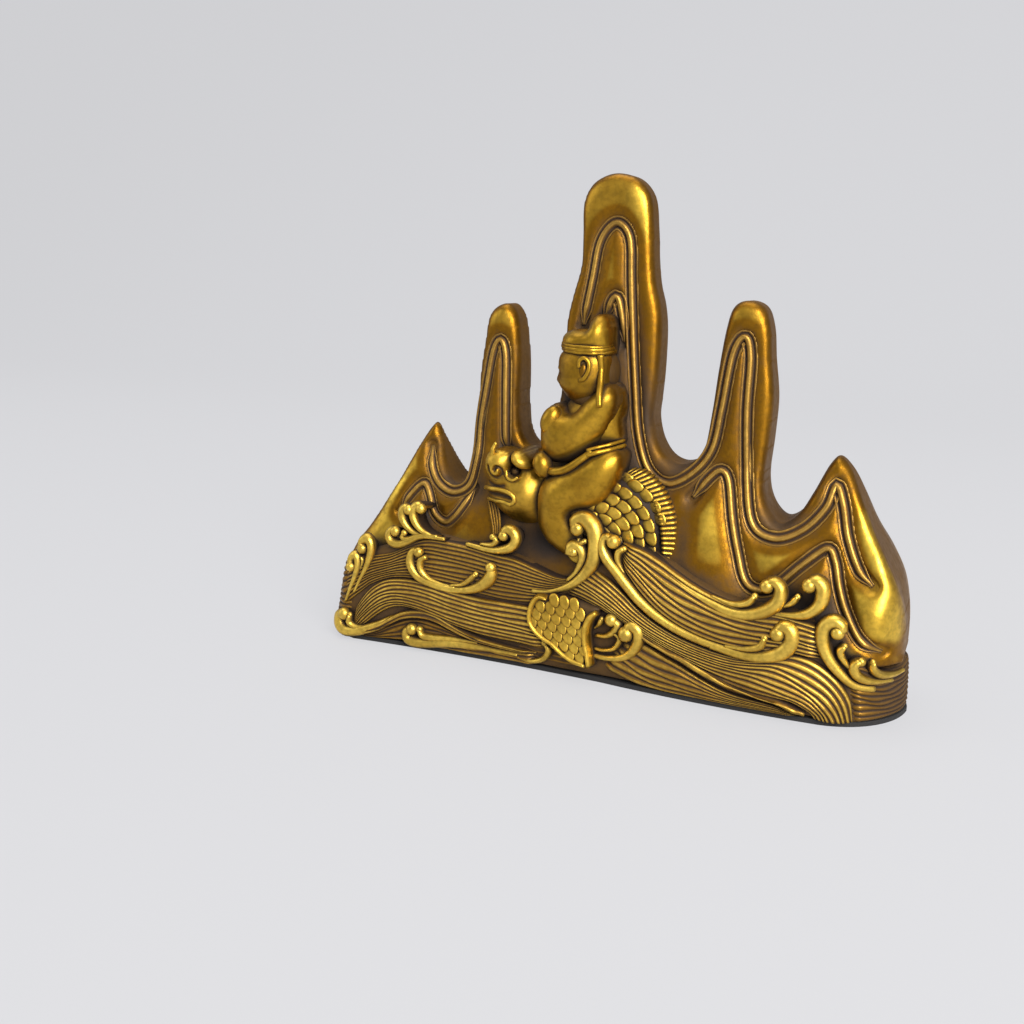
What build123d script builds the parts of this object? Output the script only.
"""Five-peak brush rest with a scholar riding a dragon-fish over waves, one cast ornament on a pad.

The frame is the centre of the underside of the pad: +X along the range of hills, -Y to the front,
+Z up. The casting is divided along the parts that a wax modeller joins, each seated on the others.
"""

import os
from math import cos, radians, sin

from build123d import *

# Overall sizes, in millimetres
overall_length = 136.4
base_depth = 33.0
tallest_peak_height = 105.3

# Pad and underside
pad_thickness = 1.0
pad_inset = 0.7
casting_wall = 3.5
cavity_depth = 5.0

# Peaks and saddles: place along the range and height
first_peak_x, first_peak_height = -39.6, 51.3
second_peak_x, second_peak_height = -21.9, 79.1
third_peak_x = 4.4
fourth_peak_x, fourth_peak_height = 31.7, 80.3
fifth_peak_x, fifth_peak_height = 51.2, 50.6
first_saddle_x, first_saddle_height = -33.0, 38.2
second_saddle_x, second_saddle_height = -12.5, 48.0
third_saddle_x, third_saddle_height = 19.4, 46.8
fourth_saddle_x, fourth_saddle_height = 41.1, 36.8
hill_foot_height = 8.0
left_foot_x = -66.0
right_foot_x = 67.8

# Half thickness of the hills, from the foot to the tips
foot_half_thickness = 13.8
flare_half_thickness = 8.0
waist_half_thickness = 4.6
tip_half_thickness = 3.2
flare_height = 30.0
waist_height = 48.0

# Levels between those, as shares of the way from one named level and thickness to the next
foot_level_share, foot_thickness_share = 0.5, 0.2
flare_level_share, flare_thickness_share = 0.5, 0.6
waist_level_share, waist_thickness_share = 0.5, 0.667

# Relief heights and widths
line_width = 1.3
line_relief = 0.5
curl_relief = 1.7
curl_width = 2.6
curl_tip_width = 0.8
curl_bulb_radius = 1.7
tail_relief = 2.2
tail_rim_relief = 2.9
tail_rim_width = 1.5
wave_body_height = 38.0
crest_height = 30.0
screen_seat_share = 0.3
swell_relief = 1.2

# Fish
fish_length = 41.0
fish_x = 0.0
fish_z = 36.0
fish_body_relief = 11.6
fish_fin_relief = 8.6
fish_head_relief = 13.4
brow_radius = 2.3
brow_relief = 14.6
brow_back = 9.0
snout_radius = 1.6
snout_relief = 14.6
beard_width = 1.0
beard_relief = 12.4

# Rider
rider_height = 49.0
rider_x = 0.0
rider_foot_z = 28.3
leg_relief = 14.6
robe_relief = 12.6
sleeve_relief = 15.4
belt_width = 1.6
belt_relief = 13.0
hand_radius = 2.0
hand_depth = 12.6
head_radius_x = 5.3
head_radius_y = 4.6
head_radius_z = 5.7
head_depth = 8.4
nose_radius = 0.9
ear_radius = 1.25
ear_thickness = 0.9
hat_relief = 13.2
hat_band_width = 1.5
hat_band_relief = 13.8
ribbon_width = 1.3
ribbon_relief = 12.8

# One overrun for every cut, and the smallest solid that a seat leaves
overrun = 1.0
sliver_share = 0.03
least_step_share = 0.05

half_length = overall_length / 2
half_depth = base_depth / 2
cut_reach = base_depth

# Plan of the base, front half: arcs through these points, shares of the half sizes
plan_shares = [
    (-1.0, 0.0), (-0.95, -0.6), (-0.83, -0.94), (-0.4, -0.85), (0.1, -0.88),
    (0.45, -0.97), (0.78, -0.94), (0.94, -0.58), (1.0, 0.0),
]

# Cross section of the waves: (height, half depth), from the pad up
wave_profile_shares = [(0.0, 0.96), (0.14, 1.0), (0.37, 0.96), (0.7, 0.85), (1.0, 0.76)]

# Flanks from saddle (0, 0) to peak (1, 1)
left_slope_shares = [(0.23, 0.22), (0.41, 0.4), (0.57, 0.56), (0.69, 0.71), (0.85, 0.89)]
first_right_shares = [(0.56, 0.35), (0.8, 0.73)]
second_left_shares = [(0.38, 0.07), (0.43, 0.17), (0.45, 0.39), (0.49, 0.61), (0.57, 0.79), (0.66, 0.94)]
second_right_shares = [(0.32, 0.02), (0.56, 0.13), (0.6, 0.31), (0.57, 0.6), (0.65, 0.88)]
third_left_shares = [
    (0.24, 0.07), (0.29, 0.2), (0.33, 0.41), (0.38, 0.55),
    (0.48, 0.63), (0.52, 0.73), (0.54, 0.9), (0.66, 0.97),
]
third_right_shares = [
    (0.29, 0.04), (0.4, 0.14), (0.38, 0.23), (0.35, 0.38), (0.36, 0.51), (0.46, 0.62), (0.49, 0.74),
    (0.53, 0.9), (0.69, 0.97),
]
fourth_left_shares = [(0.39, 0.07), (0.51, 0.35), (0.57, 0.59), (0.66, 0.84), (0.77, 0.95)]
fourth_right_shares = [
    (0.3, 0.06), (0.42, 0.18), (0.38, 0.37), (0.35, 0.56), (0.45, 0.72), (0.5, 0.88), (0.64, 0.96),
]
fifth_left_shares = [(0.45, 0.29), (0.64, 0.58), (0.83, 0.87)]
right_slope_shares = [
    (0.02, 0.2), (0.07, 0.31), (0.16, 0.42), (0.29, 0.54), (0.45, 0.63), (0.66, 0.78), (0.87, 0.95),
]

# Top edge of the waves against the hills: shares of the half length and of the crest height
crest_shares = [
    (-1.02, 0.3), (-0.9, 0.6), (-0.77, 0.74), (-0.67, 0.82), (-0.54, 0.9), (-0.35, 0.87), (-0.19, 0.85),
    (-0.1, 0.8), (0.0, 0.82), (0.1, 0.96), (0.2, 1.0), (0.31, 0.9), (0.4, 0.8), (0.5, 0.74), (0.59, 0.72),
    (0.69, 0.73), (0.75, 0.64), (0.8, 0.46), (0.86, 0.37), (0.93, 0.4), (1.02, 0.5),
]

# Swells of the waves, in front and behind: shares of the half length and of the crest height
front_swell_shares = [
    [
        (-0.8, 0.3), (-0.724, 0.473), (-0.586, 0.547), (-0.44, 0.507), (-0.24, 0.48), (-0.161, 0.473),
        (-0.161, 0.207), (-0.24, 0.207), (-0.415, 0.253), (-0.487, 0.293), (-0.608, 0.343),
        (-0.711, 0.267), (-0.777, 0.167),
    ],
    [
        (-0.733, 0.687), (-0.616, 0.773), (-0.513, 0.853), (-0.362, 0.84), (-0.147, 0.807),
        (-0.015, 0.76), (-0.059, 0.58), (-0.147, 0.547), (-0.364, 0.553), (-0.49, 0.587),
        (-0.668, 0.58), (-0.777, 0.467),
    ],
    [
        (0.095, 0.793), (0.189, 0.653), (0.272, 0.52), (0.366, 0.43), (0.489, 0.373), (0.556, 0.367),
        (0.678, 0.433), (0.744, 0.42), (0.828, 0.287), (0.857, 0.08), (0.773, 0.08), (0.681, 0.153),
        (0.571, 0.167), (0.452, 0.24), (0.326, 0.35), (0.237, 0.437), (0.12, 0.56), (0.015, 0.627),
    ],
    [
        (0.176, 1.0), (0.288, 0.92), (0.391, 0.8), (0.508, 0.707), (0.644, 0.673), (0.761, 0.633),
        (0.761, 0.487), (0.615, 0.48), (0.534, 0.467), (0.395, 0.527), (0.275, 0.653), (0.187, 0.867),
    ],
]
back_swell_shares = [
    [
        (-0.9, 0.613), (-0.791, 0.68), (-0.586, 0.807), (-0.352, 0.813), (-0.117, 0.767),
        (0.117, 0.88), (0.234, 0.913), (0.38, 0.773), (0.586, 0.653), (0.732, 0.58), (0.732, 0.32),
        (0.586, 0.38), (0.41, 0.507), (0.263, 0.64), (0.088, 0.613), (-0.147, 0.487), (-0.381, 0.547),
        (-0.616, 0.567), (-0.791, 0.433), (-0.9, 0.32),
    ],
    [
        (-0.791, 0.387), (-0.616, 0.513), (-0.381, 0.493), (-0.147, 0.433), (0.088, 0.56),
        (0.263, 0.587), (0.41, 0.453), (0.586, 0.327), (0.732, 0.267), (0.732, 0.08), (0.586, 0.107),
        (0.41, 0.213), (0.263, 0.24), (0.088, 0.14), (-0.147, 0.133), (-0.381, 0.22), (-0.616, 0.18),
        (-0.791, 0.08),
    ],
]

# Contour lines of the hills: shares of the half length and of the tallest peak
left_line_shares = [
    (-0.594, 0.44), (-0.578, 0.395), (-0.543, 0.362), (-0.484, 0.346), (-0.425, 0.365), (-0.403, 0.42),
    (-0.394, 0.5), (-0.371, 0.58), (-0.347, 0.655), (-0.322, 0.678), (-0.304, 0.65), (-0.3, 0.57),
    (-0.299, 0.48), (-0.288, 0.44),
]
right_line_shares = [
    (-0.04, 0.71), (-0.012, 0.8), (0.012, 0.875), (0.06, 0.908),
    (0.104, 0.88), (0.115, 0.8), (0.125, 0.7),
    (0.14, 0.59), (0.156, 0.5), (0.19, 0.435), (0.257, 0.407), (0.33, 0.43), (0.387, 0.48), (0.41, 0.56),
    (0.434, 0.665), (0.466, 0.697), (0.485, 0.66), (0.486, 0.55),
    (0.5, 0.42), (0.53, 0.345), (0.6, 0.325),
    (0.675, 0.347), (0.73, 0.39), (0.75, 0.432), (0.776, 0.4),
    (0.798, 0.342), (0.836, 0.288), (0.88, 0.262),
]
low_left_line_shares = [
    (-0.64, 0.335), (-0.615, 0.356), (-0.593, 0.358), (-0.571, 0.335), (-0.545, 0.298), (-0.5, 0.282),
    (-0.465, 0.297), (-0.43, 0.33),
]
low_right_line_shares = [
    (0.34, 0.385), (0.385, 0.425), (0.42, 0.443), (0.445, 0.425),
    (0.465, 0.36), (0.49, 0.3), (0.52, 0.245),
    (0.56, 0.228), (0.61, 0.236), (0.68, 0.282), (0.745, 0.317),
    (0.77, 0.297), (0.79, 0.25), (0.815, 0.212),
    (0.86, 0.168), (0.92, 0.145),
]
small_hill_shares = [(0.03, 0.72), (0.055, 0.762), (0.075, 0.765), (0.09, 0.73), (0.098, 0.68)]

# Wave scrolls: shares of the half length and of the crest height, from the bulb to the tail
curl_shares = {
    "end_curl_upper": [
        [(-0.838, 0.79), (-0.814, 0.845), (-0.784, 0.78), (-0.778, 0.68), (-0.802, 0.57), (-0.84, 0.48)],
    ],
    "end_curl_lower": [[(-0.86, 0.6), (-0.845, 0.66), (-0.83, 0.6), (-0.835, 0.48), (-0.845, 0.38)]],
    "crest_curl_left": [
        [(-0.68, 0.92), (-0.69, 0.83), (-0.64, 0.81), (-0.58, 0.87), (-0.5, 0.89), (-0.41, 0.87)],
    ],
    "spray_curls_left": [
        [(-0.61, 1.1), (-0.635, 1.03), (-0.61, 0.95), (-0.56, 0.9)],
        [(-0.56, 1.12), (-0.585, 1.04), (-0.57, 0.97), (-0.53, 0.9)],
    ],
    "crest_curl_fish": [[(-0.24, 1.03), (-0.215, 0.96), (-0.24, 0.9), (-0.29, 0.87), (-0.36, 0.87)]],
    "cradle_curl_left": [
        [
            (-0.57, 0.78), (-0.6, 0.7), (-0.585, 0.6), (-0.53, 0.54),
            (-0.46, 0.52), (-0.38, 0.54), (-0.34, 0.57),
        ],
        [(-0.285, 0.75), (-0.3, 0.66), (-0.34, 0.57), (-0.4, 0.53)],
    ],
    "corner_curl": [
        [(-0.86, 0.2), (-0.87, 0.12), (-0.82, 0.08), (-0.76, 0.12), (-0.68, 0.21), (-0.58, 0.3)],
    ],
    "foot_curl": [
        [(-0.58, 0.19), (-0.6, 0.13), (-0.54, 0.1), (-0.44, 0.14), (-0.32, 0.15), (-0.18, 0.14)],
    ],
    "breaking_curl": [
        [
            (0.0, 1.12), (0.03, 1.16), (0.07, 1.1), (0.078, 0.98),
            (0.06, 0.83), (0.02, 0.71), (-0.03, 0.64),
            (-0.09, 0.6),
        ],
        [(-0.01, 0.9), (0.02, 0.9), (0.03, 0.83), (0.0, 0.74)],
    ],
    "long_curl_lower": [
        [
            (0.12, 1.06), (0.095, 1.02), (0.105, 0.92), (0.15, 0.8),
            (0.21, 0.68), (0.29, 0.57), (0.38, 0.47),
            (0.48, 0.41), (0.58, 0.4),
        ],
        [(0.64, 0.6), (0.67, 0.55), (0.66, 0.46), (0.62, 0.41), (0.56, 0.4)],
    ],
    "long_curl_upper": [
        [(0.23, 0.95), (0.31, 0.85), (0.39, 0.75), (0.47, 0.69), (0.55, 0.68)],
        [(0.605, 0.86), (0.635, 0.8), (0.62, 0.72), (0.58, 0.685), (0.53, 0.68)],
    ],
    "cradle_curl_right": [
        [(0.72, 0.9), (0.75, 0.87), (0.755, 0.79), (0.72, 0.72), (0.67, 0.69), (0.62, 0.7)],
    ],
    "hook_curl_right": [
        [
            (0.81, 0.66), (0.785, 0.67), (0.765, 0.6), (0.775, 0.5),
            (0.81, 0.41), (0.86, 0.34), (0.92, 0.32),
        ],
    ],
    "collar_curl": [[(0.865, 0.46), (0.86, 0.42), (0.88, 0.37), (0.93, 0.35)]],
    "tail_wave_curl": [[(0.2, 0.45), (0.225, 0.38), (0.21, 0.29), (0.16, 0.235), (0.09, 0.23)]],
    "tail_wave_bud": [[(0.14, 0.5), (0.175, 0.46), (0.16, 0.38)]],
}
back_curl_shares = {
    "crest_curl_back_left": [[(-0.45, 1.0), (-0.48, 0.93), (-0.44, 0.86), (-0.37, 0.84), (-0.28, 0.84)]],
    "breaking_curl_back": [
        [(-0.06, 1.0), (-0.02, 1.04), (0.02, 0.97), (0.02, 0.83), (-0.03, 0.7), (-0.12, 0.6)],
    ],
    "cradle_curl_back": [[(-0.63, 0.65), (-0.65, 0.55), (-0.6, 0.45), (-0.5, 0.42), (-0.4, 0.45)]],
    "long_curl_back": [
        [(0.52, 0.68), (0.56, 0.62), (0.54, 0.52), (0.46, 0.46), (0.34, 0.5), (0.2, 0.62)],
    ],
    "hook_curl_back": [[(0.78, 0.62), (0.74, 0.66), (0.71, 0.56), (0.74, 0.44), (0.81, 0.36)]],
    "foot_curl_back": [[(0.2, 0.3), (0.16, 0.22), (0.22, 0.16), (0.34, 0.17), (0.48, 0.18)]],
}

# Fish outlines: shares of the fish length from its middle
fish_body_shares = [
    (-0.34, -0.02), (-0.28, 0.12), (-0.14, 0.19), (0.06, 0.22), (0.24, 0.21), (0.37, 0.14), (0.44, 0.02),
    (0.46, -0.12), (0.44, -0.24), (0.28, -0.31), (0.05, -0.35),
    (-0.15, -0.33), (-0.28, -0.24), (-0.34, -0.13),
]
dorsal_fin_shares = [
    (0.2, 0.22), (0.28, 0.25), (0.415, 0.185), (0.485, 0.08),
    (0.515, -0.03), (0.51, -0.19), (0.42, -0.24),
    (0.4, -0.05), (0.33, 0.08), (0.22, 0.15),
]
fish_head_shares = [
    (-0.47, 0.27), (-0.515, 0.18), (-0.53, 0.08), (-0.52, 0.0),
    (-0.46, -0.07), (-0.37, -0.11), (-0.26, -0.09),
    (-0.2, 0.03), (-0.2, 0.17), (-0.25, 0.27), (-0.36, 0.31),
]
brow_shares = (-0.33, 0.245)
snout_shares = [(-0.485, 0.23), (-0.475, 0.14)]
beard_shares = [
    [(-0.51, -0.03), (-0.505, -0.11), (-0.47, -0.19)],
    [(-0.49, -0.05), (-0.475, -0.12), (-0.445, -0.2)],
    [(-0.465, -0.06), (-0.445, -0.13), (-0.42, -0.2)],
]

# Tail fan: shares of the half length and of the crest height
tail_shares = [
    (-0.118, 0.58), (-0.143, 0.49), (-0.14, 0.4), (-0.113, 0.335),
    (-0.06, 0.29), (-0.026, 0.235), (0.015, 0.18),
    (0.057, 0.145), (0.085, 0.145), (0.072, 0.26), (0.062, 0.365),
    (0.075, 0.47), (0.096, 0.54), (0.047, 0.56),
    (-0.012, 0.575), (-0.06, 0.555), (-0.09, 0.56),
]
tail_rim_shares = [
    (-0.118, 0.57), (-0.135, 0.49), (-0.13, 0.4), (-0.1, 0.34), (-0.05, 0.295), (0.0, 0.22), (0.06, 0.17),
]
tail_wrist_shares = [(0.09, 0.53), (0.07, 0.46), (0.058, 0.37), (0.066, 0.27), (0.078, 0.19)]

# Rider outlines: shares of the rider's height from the sole of the foot
leg_shares = [
    (0.2, 0.45), (0.203, 0.36), (0.165, 0.29), (0.1, 0.22), (0.04, 0.185), (-0.025, 0.16), (-0.045, 0.12),
    (-0.02, 0.06), (-0.005, 0.015), (-0.05, 0.0), (-0.11, 0.035),
    (-0.165, 0.105), (-0.195, 0.18), (-0.19, 0.25),
    (-0.155, 0.31), (-0.09, 0.35), (0.0, 0.4), (0.09, 0.455),
]
robe_shares = [
    (-0.05, 0.65), (0.01, 0.665), (0.09, 0.685), (0.165, 0.695), (0.2, 0.65), (0.205, 0.56), (0.2, 0.48),
    (0.195, 0.43), (0.1, 0.42), (0.0, 0.38), (-0.09, 0.37), (-0.14, 0.44), (-0.145, 0.56), (-0.1, 0.62),
]
sleeve_shares = [
    (0.09, 0.655), (0.13, 0.62), (0.128, 0.55), (0.08, 0.48), (0.0, 0.42), (-0.09, 0.375), (-0.16, 0.405),
    (-0.19, 0.475), (-0.17, 0.54), (-0.13, 0.57), (-0.08, 0.555), (-0.03, 0.6), (0.04, 0.655),
]
hand_shares = [(-0.14, 0.565), (-0.18, 0.365)]
belt_shares = [(0.04, 0.425), (0.09, 0.445), (0.15, 0.462), (0.21, 0.468)]
head_place_shares = (0.012, 0.752)
nose_place_shares = (-0.098, 0.748)
ear_place_shares = (0.03, 0.765)
hat_shares = [
    (-0.085, 0.855), (-0.07, 0.905), (-0.035, 0.94), (0.025, 0.945),
    (0.05, 0.985), (0.1, 1.0), (0.145, 0.985),
    (0.165, 0.93), (0.167, 0.87), (0.163, 0.825), (0.06, 0.83), (-0.02, 0.845),
]
hat_band_shares = [(-0.095, 0.85), (-0.03, 0.84), (0.05, 0.83), (0.12, 0.822), (0.17, 0.822)]
ribbon_shares = [(0.125, 0.83), (0.12, 0.77), (0.108, 0.71), (0.125, 0.675)]

# Rise of a modelled form from its carrier: (depth, size) pairs
pillow_shares = [(0.0, 1.0), (0.55, 1.0), (0.84, 0.88), (1.0, 0.58)]

stations_per_point = 2
outline_stations = 18
bulb_sides = 6
ball_sides = 12
ball_tilts = [-72, -36, 0, 36, 72]

os.makedirs("parts", exist_ok=True)


def plan_lines(length, depth):
    """Closed plan of the base with the given half length and half depth, drawn as a chain of arcs."""
    points = [(x * length, y * depth) for x, y in plan_shares]
    for side in (1, -1):
        ends = [(x, side * y) for x, y in points]
        for start in range(0, len(ends) - 1, 2):
            ThreePointArc(*ends[start:start + 3])


def rounded_body(profile, height, proud):
    """Body with one cross section all along the range, its ends rounded by the plan."""
    front = [(-depth - proud, level) for level, depth in profile]
    back = [(depth + proud, level) for level, depth in reversed(profile)]
    with BuildPart() as body:
        with BuildSketch(Plane.XY.offset(pad_thickness)):
            with BuildLine():
                plan_lines(half_length + proud, half_depth + proud)
            make_face()
        extrude(amount=height)
        with BuildSketch(Plane.YZ.offset(-overall_length)):
            with BuildLine():
                Polyline(*front, *back, close=True)
            make_face()
        extrude(amount=2 * overall_length, mode=Mode.INTERSECT)
    return body.part


def between(low, high, level_share, thickness_share):
    """Level and half thickness part of the way from one (height, half thickness) pair to the next."""
    level = low[0] + (high[0] - low[0]) * level_share
    return level, low[1] + (high[1] - low[1]) * thickness_share


def hill_body(proud):
    """Envelope of the hills: wide at the foot and thin at the peaks."""
    foot, flare = (pad_thickness, foot_half_thickness), (flare_height, flare_half_thickness)
    waist, tip = (waist_height, waist_half_thickness), (tallest_peak_height + overrun, tip_half_thickness)
    profile = [
        foot,
        between(foot, flare, foot_level_share, foot_thickness_share),
        flare,
        between(flare, waist, flare_level_share, flare_thickness_share),
        waist,
        between(waist, tip, waist_level_share, waist_thickness_share),
        tip,
    ]
    return rounded_body(profile, tallest_peak_height + 2 * overrun, proud)


def wave_body(proud):
    """Envelope of the waves: fullest a little above the pad and drawn in towards the crests."""
    rise = wave_body_height - pad_thickness
    profile = [(pad_thickness + level * rise, half_depth * share) for level, share in wave_profile_shares]
    return rounded_body(profile, wave_body_height + 2 * overrun, proud)


def flank(saddle, peak, shares):
    """Points of one flank, from the saddle to the peak."""
    run, rise = peak[0] - saddle[0], peak[1] - saddle[1]
    middle = [(saddle[0] + x * run, saddle[1] + z * rise) for x, z in shares]
    return [saddle, *middle, peak]


def wave_points(shares):
    """Places on the waves or the hills' foot: along the range and up to the crests."""
    return [(x * half_length, z * crest_height) for x, z in shares]


def line_points(shares):
    """Places on the hills: along the range and up to the tallest peak."""
    return [(x * half_length, z * tallest_peak_height) for x, z in shares]


def fish_points(shares):
    """Places on the fish, from its middle."""
    return [(fish_x + x * fish_length, fish_z + z * fish_length) for x, z in shares]


def rider_points(shares):
    """Places on the rider, from the sole of the foot."""
    return [(rider_x + x * rider_height, rider_foot_z + z * rider_height) for x, z in shares]


def smooth_runs(points, periodic=False):
    """Places along the smooth curve through the points, close enough for short straight runs."""
    curve = Spline(*[Vector(*point) for point in points], periodic=periodic, mode=Mode.PRIVATE)
    count = stations_per_point * (len(points) - 1)
    if periodic:
        return [curve @ (index / outline_stations) for index in range(outline_stations)]
    return [curve @ (index / count) for index in range(count + 1)]


def band_face(points, start_width, end_width, bulb_radius=0.0):
    """Flat band of short straight runs along a smooth path, with an optional bulb at its start.

    On the inside of a tight bend, a corner that would step back over the last one is left out.
    """
    path = Spline(*[Vector(*point) for point in points])
    count = stations_per_point * (len(points) - 1)
    left, right = [], []
    for index in range(count + 1):
        station = index / count
        width = start_width + (end_width - start_width) * station
        side = (path % station).rotate(Axis.Z, 90) * width / 2
        for edge, corner in ((left, path @ station + side), (right, path @ station - side)):
            if not edge or (corner - edge[-1]).dot(path % station) > least_step_share * width:
                edge.append(corner)
    with BuildSketch(Plane.XZ) as band:
        with BuildLine():
            Polyline(*left, *reversed(right), close=True)
        make_face()
        if bulb_radius:
            with Locations(path @ 0):
                RegularPolygon(bulb_radius, bulb_sides)
    return band.sketch


def outline_face(points):
    """Flat shape with straight edges between the points, on the plane of the range."""
    with BuildSketch(Plane.XZ) as flat:
        with BuildLine():
            Polyline(*points, close=True)
        make_face()
    return flat.sketch


def boxes_meet(one, other):
    """Whether the boxes of two solids meet."""
    a, b = one.bounding_box(), other.bounding_box()
    return all(
        low <= high
        for low, high in (
            (a.min.X, b.max.X), (b.min.X, a.max.X),
            (a.min.Y, b.max.Y), (b.min.Y, a.max.Y),
            (a.min.Z, b.max.Z), (b.min.Z, a.max.Z),
        )
    )


def seated(form, *carriers):
    """The form with what carries it or lies beside it cut away, so that it seats face to face."""
    with BuildPart() as piece:
        add(form)
        for carrier in carriers:
            if boxes_meet(form, carrier):
                add(carrier, mode=Mode.SUBTRACT)
    solids = piece.part.solids()
    largest = max(solid.volume for solid in solids)
    return [solid for solid in solids if solid.volume > largest * sliver_share]


def keep(name, piece):
    """Label a finished piece and write it."""
    piece.part.label = name
    export_step(piece.part, f"parts/{name}.step")


def flat_face(corners):
    """Flat face with the given corners in space."""
    return Face(Wire.make_polygon(corners))


def faceted(rings):
    """Solid with flat facets from each ring of corners to the next, closed at both ends."""
    facets = [flat_face(rings[0]), flat_face(rings[-1])]
    for low, high in zip(rings, rings[1:]):
        for index in range(len(low)):
            facets.append(flat_face([low[index - 1], low[index], high[index], high[index - 1]]))
    with BuildPart() as form:
        add(Solid(Shell(facets)))
    return form.part


def relief(points, front, back=0.0):
    """Pillow-shaped form that rises from the depth back to the depth front, towards -Y."""
    edge = smooth_runs(points, periodic=True)
    middle = sum(edge, Vector()) / outline_stations
    rings = []
    for depth_share, size_share in pillow_shares:
        plane = Plane.XZ.offset(back + (front - back) * depth_share)
        rings.append([plane.from_local_coords(middle + (point - middle) * size_share) for point in edge])
    return faceted(rings)


def ball(middle, depth, radius_x, radius_y, radius_z):
    """Ball or egg shape, in flat facets, in front of the middle plane."""
    rings = []
    for tilt in ball_tilts:
        size = cos(radians(tilt))
        plane = Plane.XZ.offset(depth + radius_y * sin(radians(tilt)))
        corners = round_points(middle, radius_x * size, radius_z * size)
        rings.append([plane.from_local_coords(Vector(*corner)) for corner in corners])
    return faceted(rings)


def round_points(middle, radius_x, radius_z):
    """Points of a circle or an ellipse about a middle."""
    turns = [radians(360 * index / ball_sides) for index in range(ball_sides)]
    return [(middle[0] + radius_x * cos(turn), middle[1] + radius_z * sin(turn)) for turn in turns]


def extrude_band(points, start_width, end_width, front):
    """Band that stands out from the middle plane to the depth front."""
    with BuildPart() as form:
        extrude(band_face(points, start_width, end_width), amount=front)
    return form.part


def raised(face, skin, reach):
    """The part of a flat shape, carried through to the front or back, that lies inside a skin."""
    with BuildPart() as form:
        extrude(face, amount=reach)
        add(skin, mode=Mode.INTERSECT)
    return form.part


peaks = [
    (first_peak_x, first_peak_height),
    (second_peak_x, second_peak_height),
    (third_peak_x, tallest_peak_height),
    (fourth_peak_x, fourth_peak_height),
    (fifth_peak_x, fifth_peak_height),
]
saddles = [
    (left_foot_x, hill_foot_height),
    (first_saddle_x, first_saddle_height),
    (second_saddle_x, second_saddle_height),
    (third_saddle_x, third_saddle_height),
    (fourth_saddle_x, fourth_saddle_height),
    (right_foot_x, hill_foot_height),
]
rising = [left_slope_shares, second_left_shares, third_left_shares, fourth_left_shares, fifth_left_shares]
falling = [
    first_right_shares, second_right_shares, third_right_shares, fourth_right_shares, right_slope_shares,
]
screen_seat = crest_height * screen_seat_share
front_side, back_side = cut_reach, -cut_reach

outline = [saddles[0]]
for index, peak in enumerate(peaks):
    outline += flank(saddles[index], peak, rising[index])[1:]
    outline += flank(saddles[index + 1], peak, falling[index])[-2::-1]

hill_form = hill_body(0.0)
with BuildPart() as mountain_screen:
    with BuildSketch(Plane.XZ.offset(-cut_reach)):
        with BuildLine():
            Polyline(*smooth_runs(outline), (saddles[-1][0], 0), (saddles[0][0], 0), close=True)
        make_face()
    extrude(amount=2 * cut_reach)
    add(hill_form, mode=Mode.INTERSECT)
    split(bisect_by=Plane.XY.offset(screen_seat), keep=Keep.TOP)
keep("mountain_screen", mountain_screen)

wave_form = wave_body(0.0)
with BuildPart() as wave_block:
    with BuildSketch(Plane.XZ.offset(-cut_reach)):
        with BuildLine():
            crest = wave_points(crest_shares)
            Polyline(*crest, (crest[-1][0], 0), (crest[0][0], 0), close=True)
        make_face()
    extrude(amount=2 * cut_reach)
    add(wave_form, mode=Mode.INTERSECT)
    for side, swells in ((front_side, front_swell_shares), (back_side, back_swell_shares)):
        for shares in swells:
            add(raised(outline_face(wave_points(shares)), wave_body(swell_relief), side))

with BuildPart() as wave_base:
    add(wave_block.part)
    add(mountain_screen.part, mode=Mode.SUBTRACT)
    with BuildSketch(Plane.XY.offset(pad_thickness)):
        with BuildLine():
            plan_lines(half_length - casting_wall, half_depth - casting_wall)
        make_face()
    extrude(amount=cavity_depth, mode=Mode.SUBTRACT)
keep("wave_base", wave_base)

with BuildPart() as base_pad:
    with BuildSketch():
        with BuildLine():
            plan_lines(half_length - pad_inset, half_depth - pad_inset)
        make_face()
    extrude(amount=pad_thickness)
keep("base_pad", base_pad)

# Raised contour lines of the hills, in front and behind
hills, waves = mountain_screen.part, wave_block.part
with BuildPart() as line_skin:
    add(hill_body(line_relief))
    add(hill_form, mode=Mode.SUBTRACT)
hill_lines = {
    "ridge_line_left": left_line_shares,
    "ridge_line_right": right_line_shares,
    "ridge_line_low_left": low_left_line_shares,
    "ridge_line_low_right": low_right_line_shares,
    "ridge_line_small_hill": small_hill_shares,
}
lines = []
for name, shares in hill_lines.items():
    form = raised(band_face(line_points(shares), line_width, line_width), line_skin.part, front_side)
    with BuildPart() as hill_line:
        add(seated(form, waves))
    keep(name, hill_line)
    lines.append(hill_line.part)
for name in ("ridge_line_left", "ridge_line_right", "ridge_line_low_right"):
    face = band_face(line_points(hill_lines[name]), line_width, line_width)
    form = raised(face, line_skin.part, back_side)
    with BuildPart() as back_line:
        add(seated(form, waves))
    keep(f"{name}_back", back_line)
    lines.append(back_line.part)

# The fish: its back and head rise out of the waves
fish_body_form = relief(fish_points(fish_body_shares), fish_body_relief)
with BuildPart() as fish_body:
    add(seated(fish_body_form, hills, waves, *lines))
keep("fish_body", fish_body)

fin_form = relief(fish_points(dorsal_fin_shares), fish_fin_relief)
with BuildPart() as dorsal_fin:
    add(seated(fin_form, hills, waves, fish_body.part, *lines))
keep("dorsal_fin", dorsal_fin)

fish_head_form = relief(fish_points(fish_head_shares), fish_head_relief)
with BuildPart() as fish_head:
    add(seated(fish_head_form, hills, waves, fish_body.part, *lines))
keep("fish_head", fish_head)

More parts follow.
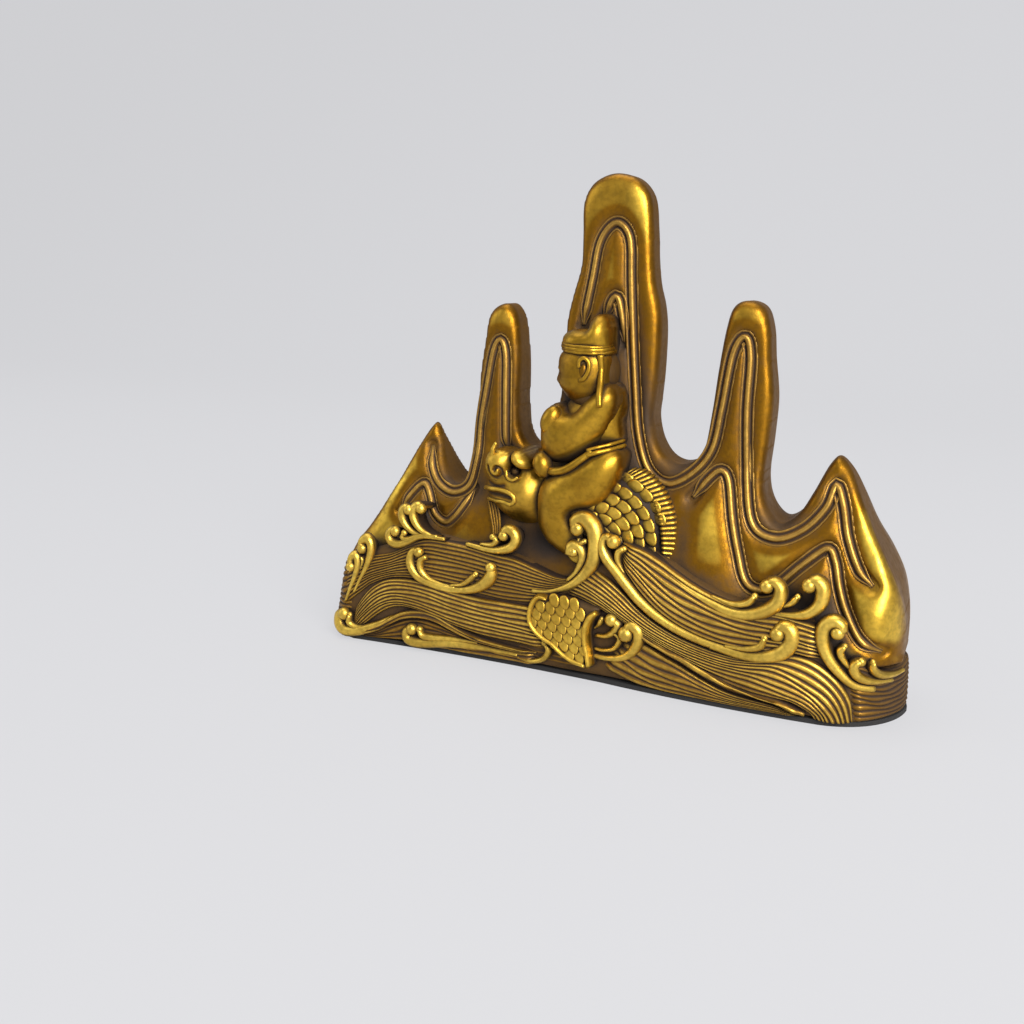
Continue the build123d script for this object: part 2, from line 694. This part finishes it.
brow_middle = fish_points([brow_shares])[0]
brow_form = relief(round_points(brow_middle, brow_radius, brow_radius), brow_relief, brow_back)
with BuildPart() as fish_brow:
    add(seated(brow_form, hills, fish_body.part, fish_head.part))
keep("fish_brow", fish_brow)

with BuildPart() as fish_snout:
    for place in fish_points(snout_shares):
        snout_form = relief(round_points(place, snout_radius, snout_radius), snout_relief, brow_back)
        add(seated(snout_form, hills, fish_head.part, *lines))
keep("fish_snout", fish_snout)

with BuildPart() as fish_beard:
    for shares in beard_shares:
        strand = extrude_band(fish_points(shares), beard_width, beard_width, beard_relief)
        add(seated(strand, hills, waves, fish_body.part, fish_head.part, fish_snout.part, *lines))
keep("fish_beard", fish_beard)

# The rider, from the leg that hangs over the fish up to the hat
fish = [fish_body.part, fish_head.part, fish_brow.part, dorsal_fin.part]
leg_form = relief(rider_points(leg_shares), leg_relief)
with BuildPart() as rider_leg:
    add(seated(leg_form, hills, waves, *fish, *lines))
keep("rider_leg", rider_leg)

robe_form = relief(rider_points(robe_shares), robe_relief)
with BuildPart() as rider_robe:
    add(seated(robe_form, hills, rider_leg.part, *fish, *lines))
keep("rider_robe", rider_robe)

sleeve_form = relief(rider_points(sleeve_shares), sleeve_relief)
with BuildPart() as rider_sleeve:
    add(seated(sleeve_form, hills, rider_robe.part, rider_leg.part, *fish))
keep("rider_sleeve", rider_sleeve)

belt_form = extrude_band(rider_points(belt_shares), belt_width, belt_width, belt_relief)
with BuildPart() as rider_belt:
    add(seated(belt_form, hills, rider_robe.part, rider_sleeve.part, rider_leg.part, *lines))
keep("rider_belt", rider_belt)

hand_carriers = [rider_sleeve.part, rider_robe.part, rider_leg.part, hills, *fish]
with BuildPart() as rider_hands:
    for place in rider_points(hand_shares):
        hand_form = ball(place, hand_depth, hand_radius, hand_radius, hand_radius)
        add(seated(hand_form, *hand_carriers))
keep("rider_hands", rider_hands)

head_places = [head_place_shares, nose_place_shares, ear_place_shares]
head_middle, nose_middle, ear_middle = rider_points(head_places)
with BuildPart() as head_form:
    add(ball(head_middle, head_depth, head_radius_x, head_radius_y, head_radius_z))
    add(ball(nose_middle, head_depth, nose_radius, nose_radius, nose_radius))
    add(ball(ear_middle, head_depth + head_radius_y, ear_radius, ear_thickness, ear_radius))
with BuildPart() as rider_head:
    add(seated(head_form.part, hills, rider_robe.part, rider_sleeve.part, *lines))
keep("rider_head", rider_head)

hat_form = relief(rider_points(hat_shares), hat_relief)
with BuildPart() as rider_hat:
    add(seated(hat_form, hills, rider_head.part, *lines))
keep("rider_hat", rider_hat)

band_form = extrude_band(rider_points(hat_band_shares), hat_band_width, hat_band_width, hat_band_relief)
with BuildPart() as hat_band:
    add(seated(band_form, hills, rider_head.part, rider_hat.part, *lines))
keep("hat_band", hat_band)

ribbon_form = extrude_band(rider_points(ribbon_shares), ribbon_width, ribbon_width, ribbon_relief)
head_and_robe = [rider_head.part, rider_hat.part, hat_band.part, rider_robe.part, rider_sleeve.part]
with BuildPart() as hat_ribbon:
    add(seated(ribbon_form, hills, *head_and_robe))
keep("hat_ribbon", hat_ribbon)

# The tail fan, low at the front of the waves
fan_form = raised(outline_face(wave_points(tail_shares)), wave_body(tail_relief), front_side)
with BuildPart() as tail_fan:
    add(seated(fan_form, waves))
keep("tail_fan", tail_fan)

rim_skin = wave_body(tail_rim_relief)
with BuildPart() as tail_rim:
    for shares in (tail_rim_shares, tail_wrist_shares):
        face = band_face(wave_points(shares), tail_rim_width, tail_rim_width)
        add(seated(raised(face, rim_skin, front_side), waves, tail_fan.part))
keep("tail_rim", tail_rim)

# Wave scrolls, in front and behind; each is cut back from the ones laid before it
curl_skin = wave_body(curl_relief)
laid = [*lines, *fish, fish_beard.part, rider_leg.part, tail_fan.part, tail_rim.part]
for side, curls in ((front_side, curl_shares), (back_side, back_curl_shares)):
    for name, paths in curls.items():
        with BuildPart() as wave_curl:
            for shares in paths:
                face = band_face(wave_points(shares), curl_width, curl_tip_width, curl_bulb_radius)
                add(seated(raised(face, curl_skin, side), hills, waves, *laid))
        keep(name, wave_curl)
        laid.append(wave_curl.part)
